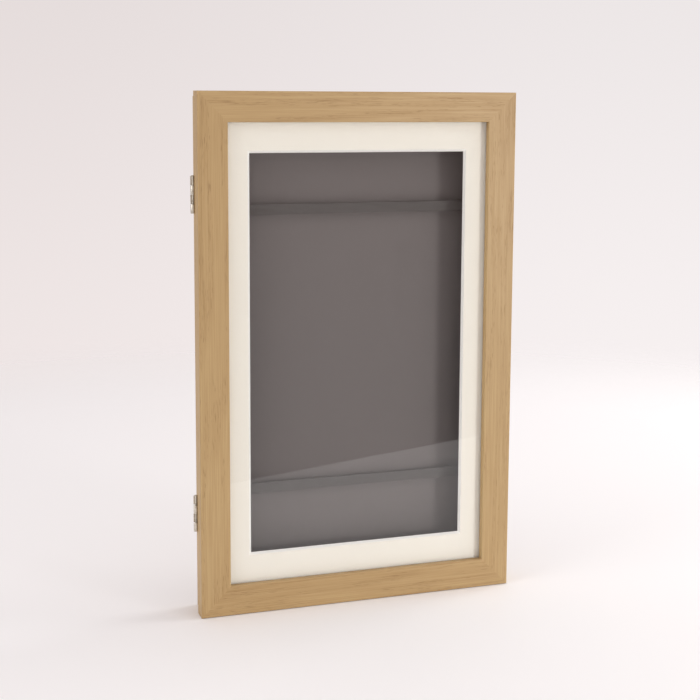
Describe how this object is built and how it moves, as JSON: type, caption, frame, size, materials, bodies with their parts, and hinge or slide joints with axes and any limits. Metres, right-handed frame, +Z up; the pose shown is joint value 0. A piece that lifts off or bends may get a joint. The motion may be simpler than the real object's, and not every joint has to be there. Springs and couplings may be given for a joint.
{
  "type": "display frame",
  "caption": "Standing picture frame with a glazed, matted front door hinged on a shallow storage case with elastic straps inside.",
  "frame": {"origin": "middle of the underside of the case, the face that it stands on", "axes": "+X to the right seen from the front, +Y from the front to the back, +Z up; the glazed door faces -Y and hinges on the -X side"},
  "size_m": [0.2324, 0.031, 0.36],
  "materials": {
    "oak": "light oak grain foil, satin",
    "mat_card": "uncoated off-white card",
    "glazing": "clear sheet, gloss",
    "dark_card": "dark grey card, matt",
    "elastic": "black woven elastic",
    "nickel": "satin nickel plate",
    "zinc": "zinc plate",
    "magnet": "bright nickel plate",
    "pad": "soft clear-grey bumper",
    "backboard": "brown hardboard"
  },
  "bodies": {
    "case": {"case_left_side": "oak", "case_right_side": "oak", "case_top_side": "oak", "case_bottom_side": "oak", "back_panel": "backboard", "lining_card": "dark_card", "upper_strap": "elastic", "lower_strap": "elastic", "strap_staples": "zinc", "upper_hinge_case_leaf": "nickel", "lower_hinge_case_leaf": "nickel", "hinge_pins": "nickel", "case_hinge_screws": "nickel", "catch_magnets": "magnet", "bumper_pads": "pad", "case_corner_wedges": "zinc", "back_brads": "zinc", "sawtooth_hangers": "zinc", "hanger_nails": "zinc"},
    "door": {"door_left_stile": "oak", "door_right_stile": "oak", "door_top_rail": "oak", "door_bottom_rail": "oak", "glazing": "glazing", "mat_board": "mat_card", "mat_retainers": "zinc", "door_corner_wedges": "zinc", "strike_discs": "zinc", "upper_hinge_door_leaf": "nickel", "lower_hinge_door_leaf": "nickel", "door_hinge_screws": "nickel"}
  },
  "joints": [
    {"name": "door_hinge", "type": "hinge", "parent": "case", "child": "door", "pos_m": [-0.1156, -0.0085, 0.18], "axis": [0, 0, -1], "range_deg": [0, 180]}
  ]
}
